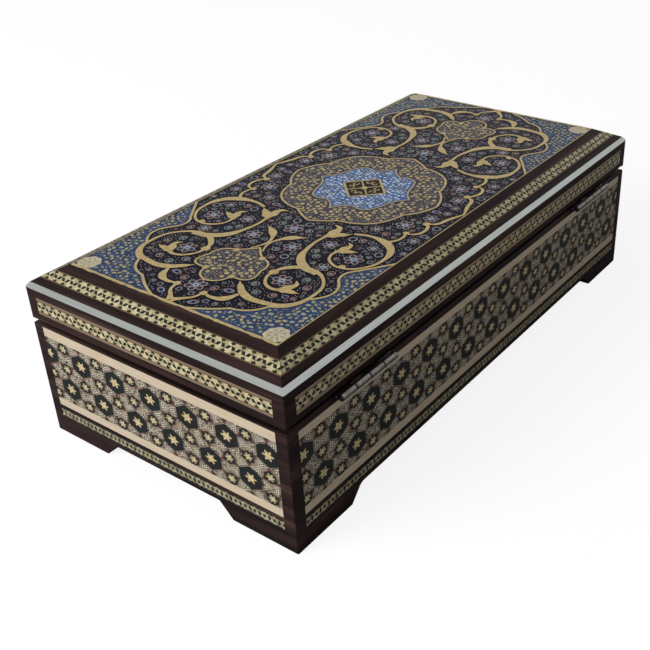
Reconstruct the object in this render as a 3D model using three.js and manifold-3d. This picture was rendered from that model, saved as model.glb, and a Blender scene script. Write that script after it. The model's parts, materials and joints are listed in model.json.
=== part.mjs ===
// A khatam jewelry box: a mitred wooden body on bracket feet, with marquetry let into its sides, a velvet
// lining whose edge shows in the shadow gap, and a lid with a metal strip on its bevel, a sloped border and a
// painted panel. The lid turns on two small butt hinges whose barrels stand outside the back. Millimetres,
// +Z up, X along the box, the hinges at +Y. The origin is on the floor, under the middle of the whole box.
import * as THREE from "three";
import { mergeVertices } from "three/addons/utils/BufferGeometryUtils.js";
import Module from "manifold-3d";

const wasm = await Module();
wasm.setup();

// Body
const BOX_LENGTH = 240;
const BOX_WIDTH = 120;
const BODY_HEIGHT = 47.7; // floor to rim
const WALL = 7;
const CORNER_RADIUS = 0.6; // upright outer corners

// Bracket feet, left where each board is cut away between them
const FOOT_LENGTH = 28.5; // along the floor
const FOOT_SLOPE = 5.6; // how far the foot widens towards the arch's top
const ARCH_HEIGHT = 6;
const LONG_ARCH_ROUND = 1.5; // upper corners of the arches in the long sides
const END_ARCH_ROUND = 0.5;

// Bottom board, held in a groove round the four sides
const BOTTOM_LEVEL = 7;
const BOTTOM_THICKNESS = 3;
const GROOVE_DEPTH = 2;

// Bands of inlay on each body side, from the floor up. The khatam panel fills what the others leave.
const INLAY = 1.2; // thickness of every inlay
const POST_WIDTH = 5; // bare wood at each upright corner
const BASE_BAND = 7.7; // bare wood under the base strip
const BASE_STRIP = 4.2;
const DARK_LINE = 1.4; // bare wood over the base strip
const LOWER_BONE = 3.3;
const UPPER_BONE = 3.8;
const RIM_LINE = 0.2; // bare wood between the upper bone strip and the rim's chamfer

// Rims. The back ones are cut back further, behind the hinge barrels.
const RIM_CHAMFER = 0.4;
const BACK_BODY_CHAMFER = 1.2;
const BACK_LID_CHAMFER = 0.9;

// Velvet lining on card
const LINING = 1.4;
const LINING_PLAY = 0.1; // between the wall lining's top edge and the lid that comes down over it
const LINING_ROUND = 0.4;

// Lid
const LID_SIDE = 12.9; // upright part of the lid's side
const LID_STRIP_MARGIN = 3.2; // bare wood over and under the lid's khatam strip
const BEVEL_RUN = 1.4;
const BEVEL_RISE = 1.7;
const BEVEL_METAL = 0.8; // thickness of the metal strip on the bevel
const SLOPE_RUN = 10.4;
const SLOPE_RISE = 5.2;
const SLOPE_INNER_BAND = 3.75; // bare wood beside the painted panel, along the slope
const SLOPE_OUTER_BAND = 3; // bare wood beside the metal strip, along the slope
const PANEL_THICKNESS = 5;
const LEDGE_WIDTH = 3; // wood under the painted panel's edge
const LEDGE_THICKNESS = 2.7;

// Butt hinges
const HINGE_SETBACK = 38; // a hinge's middle to its end of the box
const HINGE_LENGTH = 29.5;
const KNUCKLES = 4;
const KNUCKLE_GAP = 0.2;
const KNUCKLE_RADIUS = 1.3;
const PIN_RADIUS = 0.6;
const PIN_CLEARANCE = 0.08;
const PIN_HEAD = 0.3; // how far the pin stands out at each end
const LEAF_THICKNESS = 0.8;
const LEAF_GAP = 0.1; // between the closed leaves
const LEAF_RELIEF = 0.8; // between a leaf's edge and the other leaf's knuckles
const BARREL_OVERHANG = 2.1; // hinge axis to the back face
const LEAF_SETBACK = 0.6; // leaf's hidden edge to the wall's inner face
const SCREWS_PER_LEAF = 2;
const SCREW_SPACING = 18;
const SCREW_LENGTH = 6;
const SCREW_RADIUS = 0.75;
const SCREW_HEAD_RADIUS = 1.5;
const SCREW_CLEARANCE = 0.06;

// How finely round forms are drawn, and how far a cutter reaches past what it cuts
const ROUND_SIDES = 24;
const ARC_STEPS = 4;
const CUT_MARGIN = 5;

// Levels and sizes worked out from those
const RIM_GAP = 2 * LEAF_THICKNESS + LEAF_GAP;
const LID_RIM = BODY_HEIGHT + RIM_GAP;
const LID_WALL = WALL + LINING;
const BEVEL_FOOT = LID_RIM + LID_SIDE;
const SLOPE_FOOT = BEVEL_FOOT + BEVEL_RISE;
const TOP = SLOPE_FOOT + SLOPE_RISE;
const PANEL_INSET = BEVEL_RUN + SLOPE_RUN;
const PANEL_UNDERSIDE = TOP - PANEL_THICKNESS;
const BOTTOM_TOP = BOTTOM_LEVEL + BOTTOM_THICKNESS;
const SLOPE_LENGTH = Math.hypot(SLOPE_RUN, SLOPE_RISE);
const HINGE_Y = BOX_WIDTH / 2 + BARREL_OVERHANG;
const HINGE_Z = BODY_HEIGHT + RIM_GAP / 2;
const HINGE_PLACES = {
  right: BOX_LENGTH / 2 - HINGE_SETBACK,
  left: HINGE_SETBACK - BOX_LENGTH / 2,
};

// The four sides. Each is modelled as if it were the front, lying along X with its outer face at y = -reach,
// and its group is then turned into place.
const SIDES = [
  { name: "front", run: BOX_LENGTH, reach: BOX_WIDTH / 2, turn: 0, round: LONG_ARCH_ROUND },
  { name: "right", run: BOX_WIDTH, reach: BOX_LENGTH / 2, turn: Math.PI / 2, round: END_ARCH_ROUND },
  { name: "back", run: BOX_LENGTH, reach: BOX_WIDTH / 2, turn: Math.PI, round: LONG_ARCH_ROUND },
  { name: "left", run: BOX_WIDTH, reach: BOX_LENGTH / 2, turn: -Math.PI / 2, round: END_ARCH_ROUND },
];

const finish = (color, roughness, metalness = 0) =>
  new THREE.MeshStandardMaterial({ color, roughness, metalness });
const rosewood = finish(0x3a2620, 0.35);
const khatam = finish(0x8f8068, 0.3);
const bone = finish(0xdcc8a4, 0.35);
const silver = finish(0xc4c9c8, 0.3, 1);
const lacquer = finish(0x26345f, 0.2);
const velvet = finish(0x5a1018, 0.95);
const plywood = finish(0x8a6a48, 0.7);
const steel = finish(0xa9abad, 0.35, 1);

// A closed geometry as a solid that can be cut and joined
function solidOf(geometry) {
  const bare = geometry.index ? geometry.toNonIndexed() : geometry.clone();
  bare.deleteAttribute("normal");
  bare.deleteAttribute("uv");
  const merged = mergeVertices(bare, 1e-4);
  return new wasm.Manifold(
    new wasm.Mesh({
      numProp: 3,
      vertProperties: merged.attributes.position.array,
      triVerts: new Uint32Array(merged.index.array),
    }),
  );
}

function geometryOf(solid) {
  const { numProp, numVert, vertProperties, triVerts } = solid.getMesh();
  const places = new Float32Array(numVert * 3);
  for (let i = 0; i < numVert; i++) {
    places.set(vertProperties.subarray(i * numProp, i * numProp + 3), i * 3);
  }
  return new THREE.BufferGeometry()
    .setAttribute("position", new THREE.BufferAttribute(places, 3))
    .setIndex(new THREE.BufferAttribute(triVerts, 1));
}

const cutFrom = (geometry, cutters) =>
  geometryOf(cutters.reduce((left, cutter) => left.subtract(solidOf(cutter)), solidOf(geometry)));

const joined = (geometries) =>
  geometryOf(geometries.map(solidOf).reduce((whole, piece) => whole.add(piece)));

function mesh(name, geometry, material) {
  const made = new THREE.Mesh(geometry, material);
  made.name = name;
  return made;
}

// A box given by its low and high corners
function block(low, high) {
  const size = high.map((value, i) => value - low[i]);
  const middle = high.map((value, i) => (value + low[i]) / 2);
  return new THREE.BoxGeometry(...size).translate(...middle);
}

// A bar along a side, mitred at both ends. Its section is a list of [distance in from the outer face,
// height].
function mitredBar(side, section) {
  const outline = new THREE.Shape(section.map(([inset, z]) => new THREE.Vector2(inset, z)));
  const bar = new THREE.ExtrudeGeometry(outline, { depth: 1, bevelEnabled: false });
  const place = bar.getAttribute("position");
  for (let i = 0; i < place.count; i++) {
    const inset = place.getX(i);
    const along = (place.getZ(i) - 0.5) * (side.run - 2 * inset);
    place.setXYZ(i, along, inset - side.reach, place.getY(i));
  }
  return bar;
}

// A flat inlay let into a side between its corner posts, and the cutter of its pocket
const inlay = (side, low, high) =>
  block(
    [POST_WIDTH - side.run / 2, -side.reach, low],
    [side.run / 2 - POST_WIDTH, INLAY - side.reach, high],
  );

// What rounds off the two upright corners of a side
function cornerCutters(side) {
  const r = CORNER_RADIUS;
  return [-1, 1].map((end) => {
    const x = (end * side.run) / 2;
    const waste = new THREE.Shape();
    waste.moveTo(x - end * r, -side.reach);
    waste.absarc(x - end * r, r - side.reach, r, -Math.PI / 2, end > 0 ? 0 : -Math.PI, end < 0);
    waste.lineTo(x + end * r, r - side.reach);
    waste.lineTo(x + end * r, -r - side.reach);
    waste.lineTo(x - end * r, -r - side.reach);
    return new THREE.ExtrudeGeometry(waste, { depth: TOP, bevelEnabled: false, curveSegments: ARC_STEPS });
  });
}

// What is cut away between the feet: a low trapezium with rounded upper corners
function archCutter(side) {
  const floor = side.run / 2 - FOOT_LENGTH;
  const crown = floor - FOOT_SLOPE;
  const slope = Math.hypot(FOOT_SLOPE, ARCH_HEIGHT);
  const cut = (side.round / slope) * FOOT_SLOPE;
  const drop = (side.round / slope) * ARCH_HEIGHT;
  const below = (FOOT_SLOPE / ARCH_HEIGHT) * CUT_MARGIN;
  const arch = new THREE.Shape();
  arch.moveTo(-floor - below, -CUT_MARGIN);
  arch.lineTo(floor + below, -CUT_MARGIN);
  arch.lineTo(crown + cut, ARCH_HEIGHT - drop);
  arch.quadraticCurveTo(crown, ARCH_HEIGHT, crown - side.round, ARCH_HEIGHT);
  arch.lineTo(side.round - crown, ARCH_HEIGHT);
  arch.quadraticCurveTo(-crown, ARCH_HEIGHT, -crown - cut, ARCH_HEIGHT - drop);
  const depth = WALL + 2 * CUT_MARGIN;
  return new THREE.ExtrudeGeometry(arch, { depth, bevelEnabled: false, curveSegments: ARC_STEPS })
    .rotateX(Math.PI / 2)
    .translate(0, WALL + CUT_MARGIN - side.reach, 0);
}

// A countersunk screw along +Z with its head's face at z = 0, or its hole when grown by a clearance
function screwShape(grown = 0) {
  const shank = SCREW_RADIUS + grown;
  const head = SCREW_HEAD_RADIUS + grown;
  const end = -SCREW_LENGTH - grown;
  const profile = [
    [0, end],
    [shank, end + shank],
    [shank, shank - head],
    [head, 0],
    ...(grown ? [[head, CUT_MARGIN]] : []),
    [0, grown ? CUT_MARGIN : 0],
  ].map(([r, z]) => new THREE.Vector2(r, z));
  return new THREE.LatheGeometry(profile, ROUND_SIDES).rotateX(Math.PI / 2);
}

// Every screw of one hinge leaf: its place, and whether it points down into the body or up into the lid
function screwPlaces(middle, upwards) {
  const level = upwards ? LID_RIM - LEAF_THICKNESS : BODY_HEIGHT + LEAF_THICKNESS;
  const y = BOX_WIDTH / 2 - (WALL + BACK_BODY_CHAMFER) / 2 + LEAF_SETBACK / 2;
  return Array.from({ length: SCREWS_PER_LEAF }, (_, i) => {
    const x = middle + (i - (SCREWS_PER_LEAF - 1) / 2) * SCREW_SPACING;
    return { x, y, z: level, upwards };
  });
}

function screwAt(place, grown) {
  const screw = screwShape(grown);
  if (place.upwards) screw.rotateX(Math.PI);
  return screw.translate(place.x, place.y, place.z);
}

// One leaf: a plate on the rim, and knuckles whose necks reach out to the barrel
function hingeLeaf(middle, upwards) {
  const low = upwards ? LID_RIM - LEAF_THICKNESS : BODY_HEIGHT;
  const high = low + LEAF_THICKNESS;
  const start = middle - HINGE_LENGTH / 2;
  const edge = HINGE_Y - KNUCKLE_RADIUS - LEAF_RELIEF;
  const eye = PIN_RADIUS + PIN_CLEARANCE;
  const hidden = BOX_WIDTH / 2 - WALL + LEAF_SETBACK;
  const neckEnd = HINGE_Y - (KNUCKLE_RADIUS + eye) / 2;
  const ring = new THREE.Shape().absarc(0, 0, KNUCKLE_RADIUS, 0, 2 * Math.PI);
  ring.holes.push(new THREE.Path().absarc(0, 0, eye, 0, 2 * Math.PI));
  const pieces = [block([start, hidden, low], [start + HINGE_LENGTH, edge, high])];
  const pitch = HINGE_LENGTH / KNUCKLES;
  for (let i = upwards ? 1 : 0; i < KNUCKLES; i += 2) {
    const from = start + i * pitch + KNUCKLE_GAP / 2;
    const to = from + pitch - KNUCKLE_GAP;
    pieces.push(
      new THREE.ExtrudeGeometry(ring, {
        depth: to - from,
        bevelEnabled: false,
        curveSegments: ROUND_SIDES / 2,
      })
        .rotateY(Math.PI / 2)
        .translate(from, HINGE_Y, HINGE_Z),
      block([from, hidden, low], [to, neckEnd, high]),
    );
  }
  const holes = screwPlaces(middle, upwards).map((place) => screwAt(place, SCREW_CLEARANCE));
  return cutFrom(joined(pieces), holes);
}

// The pin: a rod with a slightly domed head at each end
function hingePin(middle) {
  const half = HINGE_LENGTH / 2;
  const profile = [
    [0, -half - PIN_HEAD],
    [PIN_RADIUS - PIN_HEAD, -half - PIN_HEAD],
    [PIN_RADIUS, -half],
    [PIN_RADIUS, half],
    [PIN_RADIUS - PIN_HEAD, half + PIN_HEAD],
    [0, half + PIN_HEAD],
  ].map(([r, z]) => new THREE.Vector2(r, z));
  return new THREE.LatheGeometry(profile, ROUND_SIDES)
    .rotateZ(-Math.PI / 2)
    .translate(middle, HINGE_Y, HINGE_Z);
}

// A side's screw holes are cut in the side's own turned frame
const holesIn = (side, upwards) =>
  side.name === "back"
    ? Object.values(HINGE_PLACES)
        .flatMap((middle) => screwPlaces(middle, upwards))
        .map((place) => screwAt(place, SCREW_CLEARANCE).rotateZ(-side.turn))
    : [];

// The body's four sides, with the bands that are let into them
function bodySide(side) {
  const chamfer = side.name === "back" ? BACK_BODY_CHAMFER : RIM_CHAMFER;
  const baseTop = BASE_BAND + BASE_STRIP;
  const panelFoot = baseTop + DARK_LINE + LOWER_BONE;
  const panelTop = BODY_HEIGHT - RIM_CHAMFER - RIM_LINE - UPPER_BONE;
  const bands = {
    base_khatam_strip: inlay(side, BASE_BAND, baseTop),
    lower_bone_strip: inlay(side, baseTop + DARK_LINE, panelFoot),
    khatam_panel: inlay(side, panelFoot, panelTop),
    upper_bone_strip: inlay(side, panelTop, BODY_HEIGHT - chamfer - RIM_LINE),
  };
  const board = mitredBar(side, [
    [0, 0],
    [WALL, 0],
    [WALL, BOTTOM_LEVEL],
    [WALL - GROOVE_DEPTH, BOTTOM_LEVEL],
    [WALL - GROOVE_DEPTH, BOTTOM_TOP],
    [WALL, BOTTOM_TOP],
    [WALL, BODY_HEIGHT],
    [chamfer, BODY_HEIGHT],
    [0, BODY_HEIGHT - chamfer],
  ]);
  const cutters = [archCutter(side), ...cornerCutters(side), ...holesIn(side, false)];
  const liningTop = LID_RIM - LINING_PLAY;
  const lining = mitredBar(side, [
    [WALL, BOTTOM_TOP],
    [LID_WALL, BOTTOM_TOP],
    [LID_WALL, liningTop - LINING_ROUND],
    [LID_WALL - LINING_ROUND, liningTop],
    [WALL, liningTop],
  ]);
  const group = new THREE.Group();
  group.rotation.z = side.turn;
  group.add(
    mesh(`${side.name}_board`, cutFrom(board, [...cutters, ...Object.values(bands)]), rosewood),
    mesh(`${side.name}_wall_lining`, lining, velvet),
  );
  for (const [name, geometry] of Object.entries(bands)) {
    group.add(mesh(`${side.name}_${name}`, geometry, name.includes("bone") ? bone : khatam));
  }
  return group;
}

// The lid's four sides: a rail whose section has the side, the bevel, the slope and the panel's ledge in one
function lidSide(side) {
  const chamfer = side.name === "back" ? BACK_LID_CHAMFER : RIM_CHAMFER;
  const slopeAt = (distance, depth = 0) => [
    PANEL_INSET - (distance * SLOPE_RUN - depth * SLOPE_RISE) / SLOPE_LENGTH,
    TOP - (distance * SLOPE_RISE + depth * SLOPE_RUN) / SLOPE_LENGTH,
  ];
  const strip = [
    slopeAt(SLOPE_INNER_BAND),
    slopeAt(SLOPE_LENGTH - SLOPE_OUTER_BAND),
    slopeAt(SLOPE_LENGTH - SLOPE_OUTER_BAND, INLAY),
    slopeAt(SLOPE_INNER_BAND, INLAY),
  ];
  const bevel = Math.hypot(BEVEL_RUN, BEVEL_RISE);
  const metalIn = (BEVEL_METAL * BEVEL_RISE) / bevel;
  const metalDown = (BEVEL_METAL * BEVEL_RUN) / bevel;
  const metal = [
    [BEVEL_RUN, SLOPE_FOOT],
    [0, BEVEL_FOOT],
    [metalIn, BEVEL_FOOT - metalDown],
    [BEVEL_RUN + metalIn, SLOPE_FOOT - metalDown],
  ];
  const rail = mitredBar(side, [
    [chamfer, LID_RIM],
    [LID_WALL, LID_RIM],
    [LID_WALL, PANEL_UNDERSIDE - LEDGE_THICKNESS],
    [PANEL_INSET + LEDGE_WIDTH, PANEL_UNDERSIDE - LEDGE_THICKNESS],
    [PANEL_INSET + LEDGE_WIDTH, PANEL_UNDERSIDE],
    [PANEL_INSET, PANEL_UNDERSIDE],
    [PANEL_INSET, TOP],
    strip[0],
    strip[3],
    strip[2],
    strip[1],
    metal[0],
    metal[3],
    metal[2],
    metal[1],
    [0, LID_RIM + chamfer],
  ]);
  const band = inlay(side, LID_RIM + LID_STRIP_MARGIN, BEVEL_FOOT - LID_STRIP_MARGIN);
  const corners = cornerCutters(side);
  const group = new THREE.Group();
  group.rotation.z = side.turn;
  group.add(
    mesh(`${side.name}_lid_rail`, cutFrom(rail, [band, ...corners, ...holesIn(side, true)]), rosewood),
    mesh(`${side.name}_lid_khatam_strip`, band, khatam),
    mesh(`${side.name}_slope_khatam_strip`, mitredBar(side, strip), khatam),
    mesh(`${side.name}_silver_strip`, cutFrom(mitredBar(side, metal), corners), silver),
  );
  return group;
}

// A flat board or pad in the middle of the box, its edges a given distance in from the outer faces
function level(inset, low, high) {
  const x = BOX_LENGTH / 2 - inset;
  const y = BOX_WIDTH / 2 - inset;
  return block([-x, -y, low], [x, y, high]);
}

const body = new THREE.Group();
SIDES.forEach((side) => body.add(bodySide(side)));
body.add(
  mesh("bottom_board", level(WALL - GROOVE_DEPTH, BOTTOM_LEVEL, BOTTOM_TOP), plywood),
  mesh("floor_lining", level(LID_WALL, BOTTOM_TOP, BOTTOM_TOP + LINING), velvet),
);

const lid = new THREE.Group();
SIDES.forEach((side) => lid.add(lidSide(side)));
lid.add(
  mesh("painted_panel", level(PANEL_INSET, PANEL_UNDERSIDE, TOP), lacquer),
  mesh("lid_lining", level(PANEL_INSET + LEDGE_WIDTH, PANEL_UNDERSIDE - LINING, PANEL_UNDERSIDE), velvet),
);

for (const [place, middle] of Object.entries(HINGE_PLACES)) {
  for (const [part, group, upwards] of [
    ["body", body, false],
    ["lid", lid, true],
  ]) {
    group.add(mesh(`${place}_hinge_${part}_leaf`, hingeLeaf(middle, upwards), steel));
    screwPlaces(middle, upwards).forEach((at, i) => {
      group.add(mesh(`${place}_hinge_${part}_screw_${i + 1}`, screwAt(at, 0), steel));
    });
  }
  body.add(mesh(`${place}_hinge_pin`, hingePin(middle), steel));
}

// Everything above is placed from the body's middle. The hinge barrels stand out on one side only.
const jewelryBox = new THREE.Group();
jewelryBox.add(body, lid);
jewelryBox.position.y = -(BARREL_OVERHANG + KNUCKLE_RADIUS) / 2;

export default jewelryBox;
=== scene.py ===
# %% [markdown]
# # A khatam jewelry box
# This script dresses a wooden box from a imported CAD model. Its sides are let with khatam, a marquetry of star
# patterns built from thousands of small triangular chips, and its lid carries a painted and lacquered panel. The
# CAD gives every solid its shape and place. What is made here are the chips, the painting, the velvet, the screws
# and every finish.

# %% Load the frame
import json
import random
from math import atan2, ceil, cos, floor, hypot, pi, radians, sin, sqrt

import bmesh
import bpy
from mathutils import Matrix, Vector

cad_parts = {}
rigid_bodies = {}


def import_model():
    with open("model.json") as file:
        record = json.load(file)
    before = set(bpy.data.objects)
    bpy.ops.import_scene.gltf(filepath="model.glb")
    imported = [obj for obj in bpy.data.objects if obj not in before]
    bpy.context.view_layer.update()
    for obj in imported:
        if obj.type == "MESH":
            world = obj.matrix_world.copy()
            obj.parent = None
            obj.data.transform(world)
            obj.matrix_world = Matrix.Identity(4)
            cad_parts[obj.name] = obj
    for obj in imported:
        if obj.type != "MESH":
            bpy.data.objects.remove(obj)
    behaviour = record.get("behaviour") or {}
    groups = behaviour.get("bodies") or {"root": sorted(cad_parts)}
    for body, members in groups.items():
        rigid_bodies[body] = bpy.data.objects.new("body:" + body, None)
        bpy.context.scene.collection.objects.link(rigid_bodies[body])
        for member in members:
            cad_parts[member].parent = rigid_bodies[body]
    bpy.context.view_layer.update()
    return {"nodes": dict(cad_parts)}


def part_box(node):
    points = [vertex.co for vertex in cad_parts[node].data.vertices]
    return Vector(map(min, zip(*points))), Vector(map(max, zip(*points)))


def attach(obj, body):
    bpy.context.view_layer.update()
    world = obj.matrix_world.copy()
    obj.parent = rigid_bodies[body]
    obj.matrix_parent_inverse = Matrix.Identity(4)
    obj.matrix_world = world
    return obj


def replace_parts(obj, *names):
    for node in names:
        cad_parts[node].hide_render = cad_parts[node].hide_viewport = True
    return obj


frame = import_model()
nodes = frame["nodes"]
MM = 0.001

# %% [markdown]
# ## The camera
# The photograph was taken from above the corner where the hinged long face meets one end. Three angles and a place
# describe such a view. They were found by fitting a pinhole camera to the box's own straight edges. The picture's
# middle isn't where the lens pointed, so the camera has a small shift.

# %% Camera
AZIMUTH, ELEVATION, ROLL = radians(36.551), radians(30.10), radians(-1.80)
CAMERA_PLACE = Vector((288.6, 221.5, 229.3)) * MM
FOCAL_PIXELS, PICTURE_PIXELS = 984.68, 650
LENS_POINT = (386.24, 297.56)
SENSOR = 36  # mm


def add_object(name, data):
    """Puts a camera, a lamp or a mesh into the scene."""
    made = bpy.data.objects.new(name, data)
    bpy.context.scene.collection.objects.link(made)
    return made


level = cos(ELEVATION)
backwards = Vector((level * cos(AZIMUTH), level * sin(AZIMUTH), sin(ELEVATION)))
level_right = (-backwards).cross(Vector((0, 0, 1))).normalized()
level_up = level_right.cross(-backwards)
right = level_right * cos(ROLL) + level_up * sin(ROLL)
up = level_up * cos(ROLL) - level_right * sin(ROLL)
lens = bpy.data.cameras.new("photo_camera")
lens.sensor_width = SENSOR
lens.lens = FOCAL_PIXELS * SENSOR / PICTURE_PIXELS
lens.shift_x = 0.5 - LENS_POINT[0] / PICTURE_PIXELS
lens.shift_y = LENS_POINT[1] / PICTURE_PIXELS - 0.5
lens.clip_start = 0.01
camera = add_object("photo_camera", lens)
camera.matrix_world = Matrix.Translation(CAMERA_PLACE) @ Matrix((right, up, backwards)).transposed().to_4x4()
bpy.context.scene.camera = camera
print("lens", round(lens.lens, 2), "shift", round(lens.shift_x, 4), round(lens.shift_y, 4))

# %% [markdown]
# ## Helpers for materials
# Blender works in linear light, while colours are usually named as sRGB hex values, so one function turns one into
# the other. Another adds a node with its settings and links in one call, which keeps each recipe below short. The
# last makes what most of them start from: a noise with spots or streaks of a real size.

# %% Colour and node helpers
def colour(hex_value):
    """An sRGB hex colour such as "c8a060" as linear red, green, blue and alpha."""
    parts = [int(hex_value[i:i + 2], 16) / 255 for i in (0, 2, 4)]
    return (*[p / 12.92 if p <= 0.04045 else ((p + 0.055) / 1.055) ** 2.4 for p in parts], 1)


def connect(node, inputs):
    """Sets a node's inputs to values or links them to outputs. A node stands for its first output."""
    for name, value in inputs.items():
        value = value.outputs[0] if isinstance(value, bpy.types.Node) else value
        if isinstance(value, bpy.types.NodeSocket):
            node.id_data.links.new(value, node.inputs[name])
        else:
            node.inputs[name].default_value = value


def add_node(tree, kind, inputs=None, stops=(), **settings):
    """Adds one shader node with its inputs and settings. A ramp (ValToRGB) has (position, hex) stops too."""
    made = tree.nodes.new("ShaderNode" + kind)
    for name, value in settings.items():
        setattr(made, name, value)
    if stops:
        elements = made.color_ramp.elements
        while len(elements) < len(stops):
            elements.new(0.5)
        for element, (position, hex_value) in zip(elements, stops):
            element.position, element.color = position, colour(hex_value)
    connect(made, inputs or {})
    return made


def new_material(name):
    """A new material, its node tree and its Principled shader."""
    material = bpy.data.materials.new(name)
    material.use_nodes = True
    return material, material.node_tree, material.node_tree.nodes["Principled BSDF"]


def grain(tree, width, length=None, along=0, **inputs):
    """A noise with spots of a width in mm or, where it has a length too, with streaks along one axis."""
    scale = [1 / (width * MM)] * 3
    if length:
        scale[along] = 1 / (length * MM)
    place = add_node(tree, "TexCoord").outputs["Object"]
    stretched = add_node(tree, "Mapping", {"Vector": place, "Scale": scale})
    return add_node(tree, "TexNoise", {"Vector": stretched, "Scale": 1, **inputs})


# %% [markdown]
# ## The studio
# The floor is a plain pale sheet under a large soft lamp. What the camera and mirror-like surfaces see is white,
# through Light Path, while the light that floor and world give the object stays modest. The lamp stands on the left
# and makes the end face brighter than the long one.

# %% Floor, world and lamp
def object_from(shape, name, materials):
    """Makes an object of a bmesh and frees it."""
    mesh = bpy.data.meshes.new(name)
    shape.to_mesh(mesh)
    shape.free()
    for material in materials:
        mesh.materials.append(material)
    return add_object(name, mesh)


paper, tree, shader = new_material("pale_paper_matt")
seen = add_node(tree, "LightPath").outputs["Is Camera Ray"]
connect(shader, {
    "Base Color": add_node(tree, "MapRange", {"Value": seen, "To Min": 0.5, "To Max": 0.22}),
    "Roughness": 0.9,
    "Specular IOR Level": 0,
    "Emission Color": (1, 1, 1, 1),
    "Emission Strength": add_node(tree, "Math", {0: seen, 1: 0.87}, operation="MULTIPLY"),
})
sheet = bmesh.new()
bmesh.ops.create_grid(sheet, x_segments=1, y_segments=1, size=15)
object_from(sheet, "studio_floor", [paper])

world = bpy.data.worlds.new("studio_world")
bpy.context.scene.world = world
world.use_nodes = True
tree = world.node_tree
tree.nodes.clear()
path = add_node(tree, "LightPath").outputs
seen = add_node(tree, "Math", {0: path["Is Camera Ray"], 1: path["Is Glossy Ray"]}, operation="MAXIMUM")
seen = add_node(tree, "Math", {0: seen, 1: path["Is Transmission Ray"]}, operation="MAXIMUM")
strength = add_node(tree, "MapRange", {"Value": seen, "To Min": 0.24, "To Max": 0.96})
background = add_node(tree, "Background", {"Color": (1, 1, 1, 1), "Strength": strength})
add_node(tree, "OutputWorld", {"Surface": background})

softbox = bpy.data.lights.new("left_softbox", "AREA")
softbox.energy, softbox.size = 33, 1.2
lamp = add_object("left_softbox", softbox)
lamp.location = (1.56, -0.78, 0.93)
lamp.rotation_euler = (Vector((0, 0, 0.03)) - lamp.location).to_track_quat("-Z", "Y").to_euler()
lamp.visible_glossy = False  # the metal would mirror it as a white patch
bpy.context.scene.view_settings.view_transform = "Standard"
print("floor, world and a lamp of", softbox.energy, "watts")

# %% [markdown]
# ## Rosewood
# The frame of the box is a dark reddish-brown wood, planed, stained and brushed with clear satin lacquer. Its
# grain runs along each board: a noise that is much longer along the board than across gives the growth lines, and
# a finer one the pores, which break up the sheen.

# %% Rosewood material
def rosewood(along):
    material, tree, shader = new_material("rosewood_lacquered_along_" + "xy"[along])
    growth = grain(tree, 4, 80, along, Detail=4, Roughness=0.6)
    pores = grain(tree, 0.7, 9, along, Detail=2)
    spread = add_node(tree, "MapRange", {"Value": growth, "From Min": 0.3, "From Max": 0.7})
    tones = [(0, "1b1413"), (0.45, "2c2120"), (0.75, "3c2c2a"), (1, "523a34")]
    connect(shader, {
        "Base Color": add_node(tree, "ValToRGB", {"Fac": spread}, tones),
        "Specular IOR Level": 0.04,
        "Roughness": add_node(tree, "MapRange", {"Value": pores, "To Min": 0.32, "To Max": 0.48}),
        "Normal": add_node(tree, "Bump", {"Height": pores, "Distance": 0.02 * MM, "Strength": 0.5}),
    })
    return material


# %% [markdown]
# ## Pale strips
# Over and under each large panel runs a strip of pale wood, sanded flush and lacquered like the rest. It is all
# but plain: long faint streaks run along it, and its lacquer is a little uneven.

# %% Pale strip material
def pale_wood(along):
    material, tree, shader = new_material("pale_wood_sanded_along_" + "xy"[along])
    streaks = grain(tree, 0.5, 12, along, Detail=3)
    tones = [(0.25, "ccb89b"), (0.5, "d6c4ab"), (0.75, "decfb9")]
    connect(shader, {
        "Base Color": add_node(tree, "ValToRGB", {"Fac": streaks}, tones),
        "Specular IOR Level": 0.12,
        "Roughness": 0.45,
        "Normal": add_node(tree, "Bump", {"Height": streaks, "Distance": 0.01 * MM, "Strength": 0.4}),
    })
    return material


# %% [markdown]
# ## The metal strip
# The bevel is covered by a strip of aluminium, drawn and rubbed to a satin. Rubbing leaves hair lines along the
# strip, which show as a slight change of tone and of roughness.

# %% Metal strip material
def satin_aluminium(along):
    material, tree, shader = new_material("aluminium_satin_along_" + "xy"[along])
    hair = grain(tree, 0.15, 20, along, Detail=2)
    connect(shader, {
        "Base Color": add_node(tree, "ValToRGB", {"Fac": hair}, [(0.3, "a6aba9"), (0.7, "c3c7c4")]),
        "Metallic": 1,
        "Roughness": add_node(tree, "MapRange", {"Value": hair, "To Min": 0.5, "To Max": 0.66}),
    })
    return material


# %% [markdown]
# ## Dressing boards and strips
# Boards and strips of the front and back run along X and the others along Y, so each recipe is made twice.

# %% Dress boards and strips
def dress(names, material):
    """Gives CAD nodes one material."""
    for name in names:
        nodes[name].data.materials.clear()
        nodes[name].data.materials.append(material)
    print(len(names), "nodes in", material.name)


SIDES = ("front", "right", "back", "left")
for along, sides in enumerate((("front", "back"), ("left", "right"))):
    dress([f"{side}_{part}" for side in sides for part in ("board", "lid_rail")], rosewood(along))
    dress([f"{side}_{part}_bone_strip" for side in sides for part in ("lower", "upper")], pale_wood(along))
    dress([f"{side}_silver_strip" for side in sides], satin_aluminium(along))

# %% [markdown]
# ## Khatam chips
# Khatam is made by gluing thin three-sided sticks into star-shaped rods, sawing slices off them and gluing the
# slices to a board. So its true unit is a triangular chip of under a millimetre. Here a grid is turned into a sheet
# of such triangles: every second column is moved by half a step, each square is split along its short diagonal, and
# the sheet is cut to size and given its thickness. A chip's substance then only depends on where it lies.

# %% A sheet of chips
ROOT3 = sqrt(3)


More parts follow.
